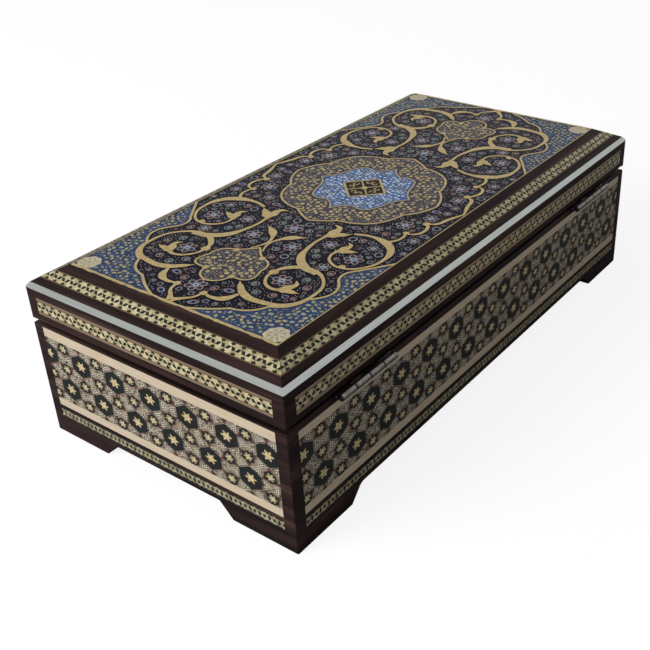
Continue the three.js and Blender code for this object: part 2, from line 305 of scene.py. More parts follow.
def cut_off(shape, point, normal, keep_both=False):
    """Cuts a bmesh along a plane and, unless both sides are kept, throws away what lies beyond it."""
    geometry = shape.verts[:] + shape.edges[:] + shape.faces[:]
    bmesh.ops.bisect_plane(shape, geom=geometry, dist=1e-7, plane_co=point, plane_no=normal, clear_outer=not keep_both)


def chip_sheet(length, height, chip, squash, origin, upright=True, levels=()):
    """Triangular chips over a length by height rectangle round 0, 0, with a corner of the net at the origin.
    Their common edges run up the sheet, or along it where upright is false. Levels are extra cuts along it."""
    columns_over, points_over = (length, height) if upright else (height, length)
    columns_off, points_off = origin if upright else origin[::-1]
    step = chip * ROOT3 / 2 * (1 if upright else squash)
    edge = chip * (squash if upright else 1)
    columns = 4 * ceil((columns_over / 2 + abs(columns_off)) / step / 2 + 1)
    points = 2 * ceil((points_over / 2 + abs(points_off)) / edge + 2)
    shape = bmesh.new()
    size = Matrix.Diagonal((columns * step / 2, points * edge / 2, 1, 1))
    bmesh.ops.create_grid(shape, x_segments=columns, y_segments=points, size=1, matrix=size)
    odd = [v for v in shape.verts if round(v.co.x / step) % 2]
    bmesh.ops.translate(shape, verts=odd, vec=(0, edge / 2, 0))
    bmesh.ops.triangulate(shape, faces=shape.faces, quad_method="SHORT_EDGE")
    if not upright:
        bmesh.ops.rotate(shape, verts=shape.verts, cent=(0, 0, 0), matrix=Matrix.Rotation(pi / 2, 3, "Z"))
    bmesh.ops.translate(shape, verts=shape.verts, vec=(*origin, 0))
    for side in (-1, 1):
        cut_off(shape, (side * length / 2, 0, 0), (side, 0, 0))
        cut_off(shape, (0, side * height / 2, 0), (0, side, 0))
    for level in levels:
        cut_off(shape, (0, level, 0), (0, 1, 0), keep_both=True)
    return shape


def open_edges(shape):
    return [e for e in shape.edges if e.is_boundary]


def points_of(geometry):
    return [part for part in geometry if isinstance(part, bmesh.types.BMVert)]


def give_thickness(shape, thickness, back_material):
    """Turns a flat sheet facing +Z into a closed slab under it."""
    made = bmesh.ops.extrude_edge_only(shape, edges=open_edges(shape))["geom"]
    bmesh.ops.translate(shape, verts=points_of(made), vec=(0, 0, -thickness))
    walls = [part for part in made if isinstance(part, bmesh.types.BMFace)]
    for face in walls + bmesh.ops.holes_fill(shape, edges=open_edges(shape), sides=0)["faces"]:
        face.material_index = back_material


def piece_from(shape, name, materials, body):
    """Makes a finished piece of a bmesh, and lets it ride on its CAD body."""
    bmesh.ops.recalc_face_normals(shape, faces=shape.faces)
    piece = object_from(shape, name, materials)
    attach(piece, body)
    return piece


# %% [markdown]
# ## The substances in the chips
# Each chip is polished and lacquered with its neighbours, so they share one sheen and differ in colour. No two
# slices of a stick are quite alike: a random tone that is stored on every face moves its colour between a darker
# and a lighter shade, and a fine noise stands for the fibres of wood and the pores of bone.

# %% Khatam materials
def chip_material(name, dark, light, rough=0.34, finish="polished"):
    material, tree, shader = new_material(f"{name}_{finish}")
    tone = add_node(tree, "Attribute", attribute_name="tone", attribute_type="GEOMETRY").outputs["Fac"]
    fibres = grain(tree, 0.3, Detail=2)
    mixed = add_node(tree, "Math", {0: fibres, 1: 0.35, 2: tone}, operation="MULTIPLY_ADD")
    sheen = {"Value": fibres, "To Min": rough - 0.06, "To Max": rough + 0.08}
    connect(shader, {
        "Base Color": add_node(tree, "ValToRGB", {"Fac": mixed}, [(0.1, dark), (1, light)]),
        "Specular IOR Level": 0.12,
        "Roughness": add_node(tree, "MapRange", sheen),
    })
    return material


STAR, PALE, DULL, EBONY, BROWN, RED, BONE, GREY, MAUVE, BEIGE, LINE, INNER, WOOD = range(13)
khatam_materials = [chip_material(*row) for row in (
    ("boxwood_star_petals", "b0935f", "e4d5aa", 0.3),
    ("limewood_star_petals", "a3976e", "dacda4", 0.3),
    ("limewood_star_petals", "837a62", "b4aa8b", 0.36, "yellowed"),
    ("ebony_chips", "131615", "242a29"),
    ("walnut_chips", "1f1712", "3a2c24"),
    ("redwood_chips", "4c3231", "6b4a47"),
    ("camel_bone_chips", "cfc5a6", "f0e9d3"),
    ("grey_dyed_maple_chips", "7f7d6e", "989582"),
    ("pink_grey_maple_chips", "7a685e", "958076"),
    ("pale_maple_chips", "8c7e6b", "a79781"),
    ("orangewood_edge_line", "83705d", "a3907b"),
    ("walnut_inner_line", "5f4a38", "7f6850"),
    ("walnut_backing", "2a1e18", "3d2d25", 0.6, "sawn"),
)]
print(len(khatam_materials), "substances")

# %% [markdown]
# ## The star rule
# How large a hexagon or a six-petalled star round a centre has to be to reach a point, counted in chips, names the
# substance there. Large and small dark hexagons carry the stars. Red triangles stand at the small hexagons' corners.
# Triangles of four chips, checked in ebony and bone, fill the room beside the large hexagons' flat sides, and a
# mixture of pale woods what is left.

# %% Pattern of the large panels
STARS_APART = 20  # from a large star to the small ones round it, in chips
LARGE_HEXAGON, SMALL_HEXAGON = 11, 6  # how far they reach, in chips
LARGE_STAR, SMALL_STAR = 5, 3.5
SIXTH = pi / 3


def hexagon_reach(x, y):
    return max(abs(x), abs(x / 2 + y * ROOT3 / 2), abs(x / 2 - y * ROOT3 / 2)) / (ROOT3 / 2)


def star_reach(x, y):
    turn = abs((atan2(y, x) + SIXTH / 2) % SIXTH - SIXTH / 2)
    return hypot(x, y) * cos(SIXTH - turn) / (ROOT3 / 2)


def around(x, y, reach, angle):
    """The point at a distance and an angle from x, y."""
    return x + reach * cos(angle), y + reach * sin(angle)


def from_nearest(x, y, along, between):
    """Vector from the nearest centre of a triangular net, its rows `between` apart and centres `along` apart."""
    vectors = []
    for row in (floor(y / between), floor(y / between) + 1):
        shift = row % 2 * along / 2
        vectors.append((x - (round((x - shift) / along) * along + shift), y - row * between))
    return min(vectors, key=lambda vector: hypot(*vector))


def in_star(x, y, petal, half_width):
    """Whether a point lies in a star of six petals of that length, which narrow towards the tip."""
    turn = (atan2(y, x) + SIXTH / 2) % SIXTH - SIXTH / 2
    out, aside = hypot(x, y) * cos(turn), abs(hypot(x, y) * sin(turn))
    return out < petal and aside < half_width * (1.6 - 1.15 * out / petal)


def parts_along(x, y, angle):
    """How far a vector reaches in a direction, and how far aside."""
    return x * cos(angle) + y * sin(angle), abs(y * cos(angle) - x * sin(angle))


def triangle_at(x, y, side):
    """Whether the triangle of that side round a point has its corner on the right, and a number of its own, 0 to 1."""
    column, within = divmod(x / (side * ROOT3 / 2), 1)
    corner = (column + 1) % 2 * side / 2
    right = abs((y - corner + side / 2) % side - side / 2) < (1 - within) * side / 2
    row = round((y - (column + right) % 2 * side / 2) / side)
    return right, sin(column * 12.9898 + row * 78.233 + right * 37.7) * 43758.5453 % 1


def panel_substance(x, y):
    """Substance of the chip whose middle lies at x, y, in chips from a large star's centre."""
    x1, y1 = from_nearest(x, y, STARS_APART * ROOT3, STARS_APART * 1.5)
    large = hexagon_reach(x1, y1)
    if large < LARGE_HEXAGON:
        return STAR if in_star(x1, y1, LARGE_STAR, 1) else BROWN if large < LARGE_STAR else EBONY
    corner = floor(atan2(y1, x1) / SIXTH) * pi / 3 + SIXTH / 2
    x2, y2 = around(x1, y1, -STARS_APART, corner)
    small = hexagon_reach(x2, y2)
    if small < SMALL_HEXAGON:
        off_corner = abs(atan2(y2, x2) % SIXTH - SIXTH / 2)
        beside_corner = small > SMALL_HEXAGON - 2 and off_corner > radians(17)
        return PALE if in_star(x2, y2, SMALL_STAR, 1) else BROWN if beside_corner else EBONY
    towards, aside = parts_along(-x2, -y2, corner)
    if towards > 5 and aside < (9.5 - towards) * 0.6:
        return RED
    flat = round(atan2(y1, x1) / SIXTH) * pi / 3
    ahead, beside = parts_along(x1, y1, flat)
    right, chance = triangle_at(x, y, 2)
    if large > LARGE_HEXAGON + 1 and beside < STARS_APART / 2 + 0.6 - ahead / ROOT3:
        if right == (cos(flat * 3) > 0):
            return EBONY if chance < 0.95 else BROWN
        return BONE if chance < 0.8 else BEIGE
    if chance < 0.1:
        return BROWN
    return MAUVE if chance > 0.62 else GREY if chance < 0.25 else BEIGE


# %% [markdown]
# ## Placing a sheet on a side
# All four sides are made lying flat, face up, with their length along X, and then stood up and turned. The CAD
# node that a sheet stands for says where its middle goes. A sheet on the lid's sloped border is only tipped by the
# slope's angle, and its ends are mitred.

# %% Sides and places
TURNS = {"front": 0, "right": pi / 2, "back": pi, "left": -pi / 2}
SLOPE = atan2(5.2, 10.4)  # the lid's border falls 5.2 mm over 10.4 mm
INLAY = 1.2 * MM

low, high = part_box("front_board")
BODY_HALF = Vector((high.x, (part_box("back_board")[1].y - low.y) / 2))
BODY_MIDDLE = Vector((0, low.y + BODY_HALF.y, 0))
print("body is", [round(2 * h / MM, 2) for h in BODY_HALF], "mm, its middle at y", round(BODY_MIDDLE.y / MM, 2))


def extent(node, side):
    """Length along a side and height of a node, and the middle of its box."""
    low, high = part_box(node)
    size = high - low
    return (size.x if side in ("front", "back") else size.y), size.z, (low + high) / 2


def stand_up(shape, side, centre, tip=pi / 2):
    """Turns a flat sheet to face out of a side, with the middle of its face at the centre."""
    place = Matrix.Translation(centre) @ Matrix.Rotation(TURNS[side], 4, "Z") @ Matrix.Rotation(tip, 4, "X")
    bmesh.ops.transform(shape, matrix=place, verts=shape.verts)


def facing(side, x, y):
    """A direction that is given for the front, turned to another side."""
    return Matrix.Rotation(TURNS[side], 3, "Z") @ Vector((x, y, 0))


def outwards(side):
    return facing(side, 0, -1)


def lay_chips(shape, seed, chip_at):
    """Gives every face its substance and a random tone, which faces of one petal share."""
    dice = random.Random(seed)
    tone = shape.faces.layers.float.new("tone")
    shared = {}
    for face in shape.faces:
        middle = face.calc_center_median()
        face.material_index, petal = chip_at(middle.x, middle.y)
        chance = dice.random()
        face[tone] = shared.setdefault(petal, chance) if petal else chance


# %% [markdown]
# ## The four large panels
# The photograph shows two rows of large stars on each side, 17.6 mm apart along the row and 13.1 mm between the
# rows, a little less than a true triangular net would have, so the chips are squashed by that much. The rows
# start where the photograph shows them on the two sides that can be seen.

# %% Large panels
STAR_PITCH, ROW_PITCH = 17.6 * MM, 13.1 * MM
CHIP = STAR_PITCH / (STARS_APART * ROOT3)
SQUASH = ROW_PITCH / (CHIP * STARS_APART * 1.5)
UPPER_ROW_START = {"right": -1.7, "back": 9.5, "front": 8.8, "left": 2.0}  # mm from the middle to one star
print("chip", round(CHIP / MM, 3), "mm, squashed to", round(SQUASH, 3))

for number, side in enumerate(SIDES):
    node = f"{side}_khatam_panel"
    length, height, middle = extent(node, side)
    origin = (UPPER_ROW_START[side] * MM, ROW_PITCH / 2)
    sheet = chip_sheet(length, height, CHIP, SQUASH, origin)
    lay_chips(sheet, number, lambda u, v: (
        panel_substance((u - origin[0]) / CHIP, (v - origin[1]) / CHIP / SQUASH), None))
    give_thickness(sheet, INLAY, WOOD)
    stand_up(sheet, side, middle + outwards(side) * INLAY / 2)
    piece = piece_from(sheet, f"{side}_khatam_chips", khatam_materials, "body")
    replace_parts(piece, node)
    print(piece.name, len(piece.data.polygons), "faces")

# %% [markdown]
# ## The narrow strips
# The strips are slices of a simpler net: cream six-petalled stars with dark rhombi in between. On the lid the strip
# is cut so that star centres lie on both its edges, and a brown and a paler line run along each edge. At the base
# it is cut along the middle of one row of stars, which have a dark heart there.

# %% Strips
PETAL = 1.41 * MM
STRIP_HEIGHT, BASE_STRIP_HEIGHT = 3.9 * MM, 3.2 * MM
INNER_LINE = 0.5 * MM
STRIP_SQUASH = STRIP_HEIGHT / (PETAL * 1.5 * ROOT3)
STRIP_KINDS = {  # body, first seed, height of the pattern, inner and outer line, tip
    "base": ("body", 10, BASE_STRIP_HEIGHT, (EBONY, EBONY), pi / 2),
    "lid": ("lid", 20, STRIP_HEIGHT, (INNER, LINE), pi / 2),
    "slope": ("lid", 30, STRIP_HEIGHT, (INNER, LINE), SLOPE),
}


def strip_chip(x, y, at_base):
    """Substance at x, y in petals from a star's centre, on a net whose rows run along the strip, and the petal."""
    x1, y1 = from_nearest(x, y, 3, 1.5 * ROOT3)
    reach = star_reach(y1, x1)
    petal = (round(x - x1, 1), round(y - y1, 1), round(atan2(x1, y1) / SIXTH)) if reach < 1 else None
    if at_base:
        return BROWN if hexagon_reach(y1, x1) < 0.6 else DULL if reach < 1 else EBONY, petal
    petal_length = 0.88 if abs(y1) > 0.5 else 0.8  # shorter where they lie along the strip
    return PALE if reach < petal_length else EBONY, petal


def strip(kind, side):
    """Replaces one of the CAD's narrow strips."""
    body, seed, pattern, lines, tip = STRIP_KINDS[kind]
    node = f"{side}_{kind}_khatam_strip"
    length, height, middle = extent(node, side)
    out = outwards(side)
    centre = middle + out * INLAY / 2
    if kind == "slope":
        low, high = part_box(node)
        height = (height - INLAY * cos(tip)) / sin(tip)
        outer = (middle - BODY_MIDDLE).dot(out) + abs(sum(a * b for a, b in zip(out, (high - low) / 2)))
        centre = BODY_MIDDLE + out * (outer - height / 2 * cos(tip))
        centre.z = high.z - height / 2 * sin(tip)
    origin = (0, 0 if kind == "base" else -pattern / 2)
    outer_line = pattern / 2 + INNER_LINE
    levels = (-outer_line, -pattern / 2, pattern / 2, outer_line)
    sheet = chip_sheet(length, height, PETAL / 2, STRIP_SQUASH, origin, upright=False, levels=levels)

    def chip_at(u, v):
        outer = abs(v) > outer_line
        if abs(v) > pattern / 2:
            return lines[outer], "outer" if outer else "inner"
        return strip_chip(u / PETAL, (v - origin[1]) / PETAL / STRIP_SQUASH, kind == "base")

    lay_chips(sheet, seed + SIDES.index(side), chip_at)
    give_thickness(sheet, INLAY, WOOD)
    stand_up(sheet, side, centre, tip)
    if kind == "slope":
        half = BODY_HALF if side in ("front", "back") else BODY_HALF.yx
        for end in (-1, 1):
            cut_off(sheet, BODY_MIDDLE + facing(side, end * half.x, -half.y), facing(side, end, 1))
        bmesh.ops.holes_fill(sheet, edges=open_edges(sheet), sides=0)
    piece = piece_from(sheet, f"{side}_{kind}_chips", khatam_materials, body)
    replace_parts(piece, node)
    return len(piece.data.polygons)


for side in SIDES:
    print(side, [strip(kind, side) for kind in STRIP_KINDS], "faces")

# %% [markdown]
# ## The painted panel
# The panel is painted in gouache on a blue ground and lacquered. Its ornament is the traditional one of medallion
# and corner pieces: a dark field with lobed edges, a medallion round a light blue star, two small cartouches, gold
# scrolls and blossoms between them. A painting could be a picture file. Here the strokes are real, thin shapes,
# which stay sharp from any distance. It is the same in all four quarters, so shapes are given for one, in
# millimetres from the middle.

# %% Places on the panel
panel_low, panel_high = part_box("painted_panel")
panel_middle = (panel_low + panel_high) / 2
HALF_PANEL = (panel_high - panel_low) / MM / 2
LAYER = 0.03 * MM  # from one coat of paint to the next
BOARD_TOP = panel_high.z - 6 * LAYER
END, SIDE = HALF_PANEL.x - 0.3, HALF_PANEL.y - 0.3  # how far paint reaches
ARC_STEPS = 8


def arcs(stops):
    """Points along arcs between stops (x, y, bulge). A bulge is the arc's height over its chord's length."""
    points = []
    for (x1, y1, bulge), (x2, y2, _) in zip(stops, stops[1:]):
        out_x, out_y = (y2 - y1) * 2 * bulge, (x1 - x2) * 2 * bulge
        for step in range(ARC_STEPS):
            t = step / ARC_STEPS
            side = 2 * t * (1 - t)
            points.append((x1 + (x2 - x1) * t + out_x * side, y1 + (y2 - y1) * t + out_y * side))
    return points + [stops[-1][:2]]


def inside(x, y, outline):
    crossings = 0
    for (x1, y1), (x2, y2) in zip(outline, outline[1:] + outline[:1]):
        if (y1 > y) != (y2 > y) and x < x1 + (y - y1) / (y2 - y1) * (x2 - x1):
            crossings += 1
    return crossings % 2 == 1


MIDDLE = (0, 0)
FIELD_EDGE = arcs([(END, 8, 0), (107, 8.2, 0.04), (99.6, 20.5, 0.15), (91.9, 30.5, 0.16), (81.4, 38.3, 0.27),
                   (66.1, 38.6, -0.2), (57.5, 40, 0), (46.3, SIDE, 0)])
MEDALLION_EDGE = arcs([(35.4, 0, 0.04), (29.6, 10, 0.21), (12.8, 27.7, 0.08), (0, 34.5, 0)])
STAR_EDGE = arcs([(22.6, 0, -0.1), (16.2, 6.4, 0.16), (15.8, 13.9, 0.04), (8, 16.7, -0.08), (0, 22, 0)])
CARTOUCHE = arcs([(90.2, 0, 0.2), (83.6, 6.1, 0.44), (75.5, 12.1, 0.24), (68, 6.3, -0.04), (62.3, 0, 0)])
FIELD = [MIDDLE, (END, 0), *FIELD_EDGE, (0, SIDE)]
MEDALLION = [MIDDLE, *MEDALLION_EDGE]
STAR_GROUND = [MIDDLE, *STAR_EDGE]
SQUARE = 10.3  # from the middle to a corner
PATCH_X, PATCH_Y, PATCH_RADIUS = END - 4.5, SIDE - 4.3, 4
print("panel is", [round(2 * h, 1) for h in HALF_PANEL], "mm")

# %% [markdown]
# ## Paints
# Gouache is matt, and the lacquer over it has aged to a soft gloss, so every paint shines the same and differs in
# colour alone. No brush lays an even tone: a cloudy noise moves each paint between two near shades. The gold is
# ground mica, a little grainy and faintly metallic.

# %% Paint materials
def paint(name, dark, light, cloud=1, metallic=0):
    """One paint, its two shades in clouds of a size in mm."""
    material, tree, shader = new_material(name + "_lacquered")
    clouds = grain(tree, cloud, Detail=3)
    connect(shader, {
        "Base Color": add_node(tree, "ValToRGB", {"Fac": clouds}, [(0.3, dark), (0.7, light)]),
        "Metallic": metallic,
        "Roughness": 0.34,
        "Specular IOR Level": 0.03,
    })
    return material


DULL_GOLD, OLIVE, ROSE, WHITE, VIOLET, PALE_GREY, SKY, TAN, GOLD, BLUE, NAVY, SLATE, DARK_BROWN = range(13)
PAINTS = [paint(*row) for row in (
    ("dull_mica_gold_paint", "9b8e6e", "cabb95", 0.8, 0.1),
    ("gouache_pale_olive", "9a9d7e", "c8c6a6", 0.8),
    ("gouache_old_rose", "94766f", "c2a596"),
    ("gouache_blue_white", "b2c8ea", "e4eefb"),
    ("gouache_violet", "231d3a", "463b5c"),
    ("gouache_warm_grey", "82888a", "b2b5ac"),
    ("gouache_light_blue", "3f6099", "587cb4", 2),
    ("gouache_tan", "c6b998", "e6ddc4"),
    ("mica_gold_paint", "b7a171", "dfc78e", 0.8, 0.15),
    ("gouache_cobalt_blue", "2f4165", "445a84", 4),
    ("gouache_blue_black", "0a0813", "15112a", 4),
    ("gouache_slate_violet", "403c49", "585460", 4),
    ("gouache_dark_brown", "1d1310", "2f201b", 2),
)]
print(len(PAINTS), "paints")

# %% [markdown]
# ## Board and grounds
# Under the paint is a board with a slightly rounded edge. The grounds are filled flat outlines, one over another.
# A 2D curve fills any closed outline by itself, and is then made a mesh. In each corner of the panel lies a small
# round patch with a wavy edge.

# %% Board and grounds
def mirror(shape, x, y):
    """Adds the mirror image of a whole flat bmesh, x or y being -1."""
    copy = bmesh.ops.duplicate(shape, geom=shape.verts[:] + shape.edges[:] + shape.faces[:])["geom"]
    bmesh.ops.scale(shape, verts=points_of(copy), vec=(x, y, 1))


def painted_piece(shape, name, materials, level, quarter=True):
    """A coat of paint on its level above the board, mirrored if a quarter, with a plan view as its UV map."""
    if quarter:
        mirror(shape, -1, 1)
        mirror(shape, 1, -1)
    bmesh.ops.scale(shape, verts=shape.verts, vec=(MM, MM, 1))
    centre = Vector((panel_middle.x, panel_middle.y, BOARD_TOP + level * LAYER))
    bmesh.ops.translate(shape, verts=shape.verts, vec=centre)
    shape.normal_update()
    bmesh.ops.reverse_faces(shape, faces=[f for f in shape.faces if f.normal.z < 0])
    plan = shape.loops.layers.uv.new("OFBake")
    for face in shape.faces:
        for loop in face.loops:
            place = loop.vert.co - panel_middle
            loop[plan].uv = [0.5 + at / MM / 2 / half * 0.99 for at, half in zip(place.xy, HALF_PANEL.xy)]
    piece = object_from(shape, name, materials)
    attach(piece, "lid")
    return piece


def flat_shape(curve):
    """Makes a curve a flat bmesh and removes the curve."""
    carrier = bpy.data.objects.new("flat_shape", curve)
    mesh = bpy.data.meshes.new_from_object(carrier)
    shape = bmesh.new()
    shape.from_mesh(mesh)
    for used in (carrier, curve, mesh):
        bpy.data.batch_remove([used])
    return shape


def straight_lines(curve, points, radius=1):
    """Adds a spline with sharp corners to a curve."""
    spline = curve.splines.new("POLY")
    spline.points.add(len(points) - 1)
    for point, (x, y) in zip(spline.points, points):
        point.co, point.radius, point.tilt = (x, y, 0, 1), radius, pi / 2
    return spline


def ground(outlines, name, material, level):
    """Fills outlines of one quarter."""
    curve = bpy.data.curves.new("outlines", "CURVE")
    curve.dimensions, curve.fill_mode = "2D", "FRONT"
    for outline in outlines:
        straight_lines(curve, outline).use_cyclic_u = True
    painted_piece(flat_shape(curve), name, [PAINTS[material]], level)


board = bmesh.new()
size = Vector((2 * HALF_PANEL.x * MM, 2 * HALF_PANEL.y * MM, BOARD_TOP - panel_low.z))
bmesh.ops.create_cube(board, size=1, matrix=Matrix.Diagonal((*size, 1)))
bmesh.ops.translate(board, verts=board.verts, vec=(panel_middle.x, panel_middle.y, panel_low.z + size.z / 2))
rim = [e for e in board.edges if min(v.co.z for v in e.verts) > panel_middle.z]
bmesh.ops.bevel(board, geom=rim, offset=0.25 * MM, segments=2, profile=0.5, affect="EDGES", material=-1)
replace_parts(piece_from(board, "painted_board", [PAINTS[BLUE]], "lid"), "painted_panel")

patch = []
for step in range(48):
    angle = step * pi / 24
    patch.append(around(PATCH_X, PATCH_Y, PATCH_RADIUS + 0.5 * abs(sin(angle * 4)), angle))
ground([FIELD], "dark_field_paint", NAVY, 1)
ground([MEDALLION, CARTOUCHE], "medallion_ground_paint", SLATE, 2)
ground([STAR_GROUND], "star_ground_paint", SKY, 3)
ground([[MIDDLE, (SQUARE, 0), (0, SQUARE)]], "square_ground_paint", DARK_BROWN, 4)
ground([patch], "corner_patch_paint", TAN, 4)
print("a board and 5 grounds")

# %% [markdown]
# ## Gold strokes
# A brush stroke is thin where it starts, swells and runs out again. A Bezier curve with automatic handles makes
# just that from a few stops: it is extruded to a ribbon and laid flat by a tilt of 90 degrees, and the radius at
# each stop is a little over the stroke's half width there. At the panel's ends the gold border has worn unevenly.

# %% Gold strokes
def new_brush():
    curve = bpy.data.curves.new("strokes", "CURVE")
    curve.dimensions, curve.twist_mode, curve.extrude, curve.resolution_u = "3D", "Z_UP", 1, 6
    return curve


brush = new_brush()
PRESSURE = 0.56  # radius of a stroke over its width


def stroke(*stops):
    """A stroke through stops (x, y, width)."""
    spline = brush.splines.new("BEZIER")
    spline.radius_interpolation = "EASE"
    spline.bezier_points.add(len(stops) - 1)
    for point, (x, y, width) in zip(spline.bezier_points, stops):
        point.co, point.radius, point.tilt = (x, y, 0), width * PRESSURE, pi / 2
        point.handle_left_type = point.handle_right_type = "AUTO"


def line(points, width):
    """A line of even width."""
    straight_lines(brush, points, width / 2)


def leaf(x, y, turn, size):
    """A half palmette: a pointed lobe in the direction turn, in degrees, and one that curls to its left."""
    ahead, aside = cos(radians(turn)) * size, sin(radians(turn)) * size
    lobe = [(-0.1, 0, 0.12), (0.28, 0.06, 0.42), (0.6, 0.02, 0.26), (1, 0, 0.03)]
    curl = [(0, 0.04, 0.12), (0.3, 0.28, 0.38), (0.54, 0.6, 0.2), (0.4, 0.92, 0.05)]
    for stops in (lobe, curl):
        stroke(*((x + ahead * u - aside * v, y + aside * u + ahead * v, width * size) for u, v, width in stops))


line(FIELD_EDGE, 1)
line(MEDALLION_EDGE, 0.9)
line(STAR_EDGE, 0.6)
line(CARTOUCHE, 0.8)
line([(SQUARE, 0), (0, SQUARE)], 0.9)
line([MIDDLE, (SQUARE / 2, SQUARE / 2)], 0.6)
worn = random.Random(8)
stroke(*((END - worn.uniform(0.35, 0.6), SIDE * step / 24, worn.uniform(0.7, 1.4)) for step in range(25)))
line([(0, SIDE), (END, SIDE)], 0.4)
# the scroll nearer the end winds inwards to its leaf
stroke((84.4, 10.8, 0.3), (87.4, 13.8, 2), (90.6, 18.6, 2.6), (91.4, 24.6, 2.2), (87.4, 35, 1.3), (78.2, 37.9, 1.2),
       (69.4, 34.8, 1), (65.2, 26, 1.8), (67.8, 19, 2), (73.4, 16.1, 1.2), (79.6, 17.8, 1), (82.6, 22.8, 1.2),
       (81.8, 26.4, 1.6))
leaf(82, 25.4, 102, 8)
stroke((91.4, 16.6, 1.2), (96, 14.6, 2.6), (97.7, 10.5, 1.4), (97.1, 6.4, 0.8))
stroke((106.2, 0.2, 2.2), (103.6, 2.6, 1.4), (101.2, 5, 1), (97.1, 6.2, 1))
# the second scroll starts as a thick crescent under the first
stroke((67.3, 29.4, 1), (64.9, 22.6, 3.1), (60.2, 17.2, 2.7), (54, 14.9, 1.5), (48, 14, 1.1), (42.4, 14.4, 1.2))
leaf(42.4, 14.4, 131, 9.6)
stroke((35.4, 22, 1.2), (33.8, 28, 1.3), (35.2, 36, 3), (39.6, 41.2, 2.4), (47, 42.8, 1.2), (54.4, 40.4, 1),
       (58.7, 34.4, 1), (57.4, 28.2, 1), (53.6, 25.2, 0.9), (49.4, 25.2, 1.2))
leaf(49.8, 25, 116, 7.6)
# stems along the long edge
stroke((34.4, 35.8, 1.2), (31.6, 37.9, 1.1), (28, 38.5, 1), (24.6, 37.6, 0.8))
stroke((25.2, 38.4, 0.6), (23.4, 41.2, 1.1), (19.9, 42.3, 1.2), (16.4, 41.5, 1.2), (14.3, 39.8, 0.8))
stroke((14, 40.2, 0.7), (12.4, 42.8, 1.3), (7, 44.4, 1.4), (0, 47, 0.8))
# hooks of cartouche and medallion
stroke((64.3, 2.7, 0.6), (58.2, 0.5, 0.9), (54.4, 1.4, 1.1), (50.4, 4.4, 2.8), (47, 10, 0.2))
stroke((29.8, 9.6, 0.8), (28.4, 8.3, 0.7), (27.2, 9.6, 0.5))
stroke((13, 27.5, 0.8), (11.8, 26.2, 0.7), (10.9, 27.4, 0.5))
# a pair of scrolls in each of the square's four fields
for x, y in ((5.3, 1.5), (1.5, 5.3)):
    stroke((x + 1.4, y - 0.8, 0.2), (x, y - 1.2, 0.45), (x - 1, y, 0.45), (x, y + 0.9, 0.4), (x + 0.5, y, 0.15))
print(len(brush.splines), "strokes in a quarter")
scrolls = flat_shape(brush)
stroke_edges = [v.co.xy for v in scrolls.verts]
painted_piece(scrolls, "gold_strokes", [PAINTS[GOLD]], 6)

# %% [markdown]
# ## Dabs
# Everything else is dabs of the brush. A dab is a disc drawn out to an ellipse, and an inset makes its outline.
# The large blossoms stand at chosen places. Ring-shaped blossoms, buds, curls and dots fill the room that is left,
# each keeping its distance from all that is already there, which a net of squares makes quick to find.

# %% Dabs
NET = 8  # side of a square of the net, wider than any two neighbours reach
BORDER = 0.7
dice = random.Random(5)
dabs = bmesh.new()
net = {}


def claim(x, y, reach):
    net.setdefault((x // NET, y // NET), []).append((x, y, reach))


def room(x, y, radius):
    squares = [(x // NET + i, y // NET + j) for i in (-1, 0, 1) for j in (-1, 0, 1)]
    neighbours = [taken for square in squares for taken in net.get(square, [])]
    return min(x, y) > radius and all(hypot(x - tx, y - ty) > radius + reach for tx, ty, reach in neighbours)


def dab(x, y, long, wide, turn, fill, rim=None, rim_width=0.3, sides=8):
    place = Matrix.Translation((x, y, 0)) @ Matrix.Rotation(turn, 4, "Z") @ Matrix.Diagonal((long, wide, 1, 1))
    corners = bmesh.ops.create_circle(dabs, cap_ends=True, segments=sides, radius=1, matrix=place)["verts"]
    face = corners[0].link_faces[0]
    face.material_index = fill
    if rim is not None:
        for part in bmesh.ops.inset_individual(dabs, faces=[face], thickness=rim_width)["faces"]:
            part.material_index = rim


def blossom(x, y, radius):
    """A rosette of six outlined petals round a pale heart."""
    turn = dice.random()
    for petal in range(6):
        angle = turn + petal * SIXTH
        dab(*around(x, y, 0.62 * radius, angle), 0.38 * radius, 0.33 * radius, angle, VIOLET,
            ROSE if petal % 2 else PALE_GREY, rim_width=0.12 * radius)
    dab(x, y, 0.27 * radius, 0.27 * radius, 0, SKY, WHITE, rim_width=0.1 * radius)
    claim(x, y, radius)


def ring(x, y, radius):
    """A small round blossom, or now and then a bud."""
    if radius > 1.5 and dice.random() < 0.3:
        dab(x, y, radius * 1.15, radius * 0.7, dice.uniform(1, 2.2), SKY, ROSE, 0.25 * radius)
        dab(x, y, 0.4 * radius, 0.3 * radius, 0, WHITE, sides=6)
    else:
        turn, rim = dice.random() * 3, dice.choice((PALE_GREY, PALE_GREY, ROSE))
        dab(x, y, radius, radius * 0.9, turn, VIOLET, rim, 0.26 * radius)
        dab(x, y, 0.32 * radius, 0.32 * radius, 0, dice.choice((WHITE, PALE_GREY)), sides=6)
    claim(x, y, radius)


def curl(x, y, radius):
    """The stops of a thin line that winds outwards round a dot."""
    start, way = dice.uniform(0, 6), dice.choice((-1, 1))
    stops = []
    for step in range(10):
        place = around(x, y, radius * (0.42 + 0.055 * step), start + way * step)
        stops.append((*place, 0.24 * radius * (1 - 0.06 * step)))
    dab(x, y, 0.2 * radius, 0.16 * radius, start, WHITE, sides=6)
    claim(x, y, radius)
    return stops


def in_field(x, y):
    return inside(x, y, FIELD) and not inside(x, y, MEDALLION) and not inside(x, y, CARTOUCHE)


